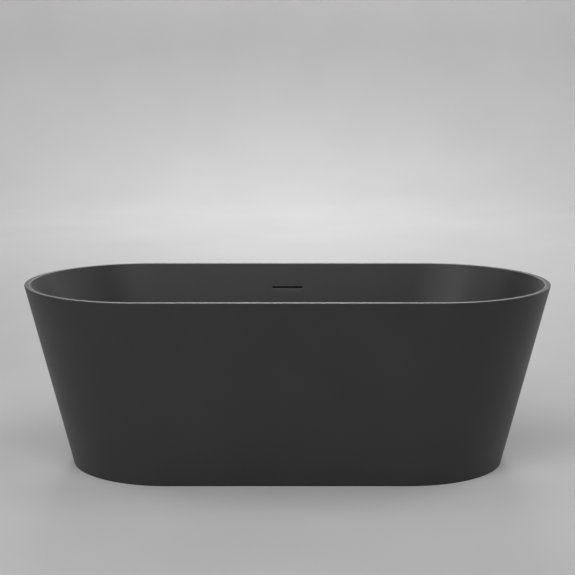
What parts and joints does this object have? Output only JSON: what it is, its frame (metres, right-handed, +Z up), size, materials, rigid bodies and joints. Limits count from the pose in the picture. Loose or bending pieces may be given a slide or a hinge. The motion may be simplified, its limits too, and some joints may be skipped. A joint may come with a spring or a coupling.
{
  "type": "freestanding bathtub",
  "caption": "Matte dark freestanding bathtub: stadium plan, tapered twin shell, thin rim, slot overflow, lifting plug and screw feet.",
  "frame": {"origin": "on the floor under the middle of the tub", "axes": "+X along the tub, +Y across it towards the overflow slot, +Z up"},
  "size_m": [1.6998, 0.78, 0.59],
  "materials": {
    "shell": "matte",
    "waste_metal": "satin",
    "black_plastic": "satin",
    "grey_plastic": "satin",
    "rubber": "matte",
    "foot_rubber": "matte",
    "zinc": "satin",
    "galvanised": "satin",
    "stainless": "satin",
    "brass": "satin",
    "plywood": "matte",
    "foam": "matte"
  },
  "bodies": {
    "tub": {"inner_basin": "shell", "outer_skirt": "shell", "spacer_blocks": "foam", "base_board": "plywood", "cross_rail_left": "galvanised", "cross_rail_right": "galvanised", "rail_screws": "zinc", "leg_sleeves": "galvanised", "jam_nuts": "zinc", "overflow_box": "black_plastic", "overflow_gasket": "rubber", "overflow_screws": "stainless", "overflow_hose": "grey_plastic", "hose_clip_upper": "stainless", "hose_clip_lower": "stainless", "waste_flange": "waste_metal", "waste_upper_gasket": "rubber", "waste_lower_gasket": "rubber", "waste_body": "black_plastic", "waste_elbow": "grey_plastic", "waste_nut": "black_plastic", "waste_seal": "rubber", "plug_cartridge": "brass"},
    "plug": {"plug_cap": "waste_metal", "plug_seal": "rubber", "plug_stem": "brass"},
    "pad_1": {"foot_pad_1": "foot_rubber"},
    "stud_1": {"foot_stud_1": "zinc"},
    "pad_2": {"foot_pad_2": "foot_rubber"},
    "stud_2": {"foot_stud_2": "zinc"},
    "pad_3": {"foot_pad_3": "foot_rubber"},
    "stud_3": {"foot_stud_3": "zinc"},
    "pad_4": {"foot_pad_4": "foot_rubber"},
    "stud_4": {"foot_stud_4": "zinc"}
  },
  "joints": [
    {"name": "plug_lift", "type": "slide", "parent": "tub", "child": "plug", "axis": [0, 0, 1], "range_m": [0, 0.01]},
    {"name": "foot_1_slide", "type": "slide", "parent": "tub", "child": "pad_1", "axis": [0, 0, 1], "range_m": [-0.02, 0]},
    {"name": "foot_1_turn", "type": "hinge", "parent": "pad_1", "child": "stud_1", "pos_m": [-0.42, -0.255, 0.05], "axis": [0, 0, 1], "range_deg": [-4114.29, 0]},
    {"name": "foot_2_slide", "type": "slide", "parent": "tub", "child": "pad_2", "axis": [0, 0, 1], "range_m": [-0.02, 0]},
    {"name": "foot_2_turn", "type": "hinge", "parent": "pad_2", "child": "stud_2", "pos_m": [0.42, -0.255, 0.05], "axis": [0, 0, 1], "range_deg": [-4114.29, 0]},
    {"name": "foot_3_slide", "type": "slide", "parent": "tub", "child": "pad_3", "axis": [0, 0, 1], "range_m": [-0.02, 0]},
    {"name": "foot_3_turn", "type": "hinge", "parent": "pad_3", "child": "stud_3", "pos_m": [-0.42, 0.255, 0.05], "axis": [0, 0, 1], "range_deg": [-4114.29, 0]},
    {"name": "foot_4_slide", "type": "slide", "parent": "tub", "child": "pad_4", "axis": [0, 0, 1], "range_m": [-0.02, 0]},
    {"name": "foot_4_turn", "type": "hinge", "parent": "pad_4", "child": "stud_4", "pos_m": [0.42, 0.255, 0.05], "axis": [0, 0, 1], "range_deg": [-4114.29, 0]}
  ],
  "couplings": [
    {"joint": "foot_1_turn", "follows": "foot_1_slide", "rad_per_m": 3590.4},
    {"joint": "foot_2_turn", "follows": "foot_2_slide", "rad_per_m": 3590.4},
    {"joint": "foot_3_turn", "follows": "foot_3_slide", "rad_per_m": 3590.4},
    {"joint": "foot_4_turn", "follows": "foot_4_slide", "rad_per_m": 3590.4}
  ]
}
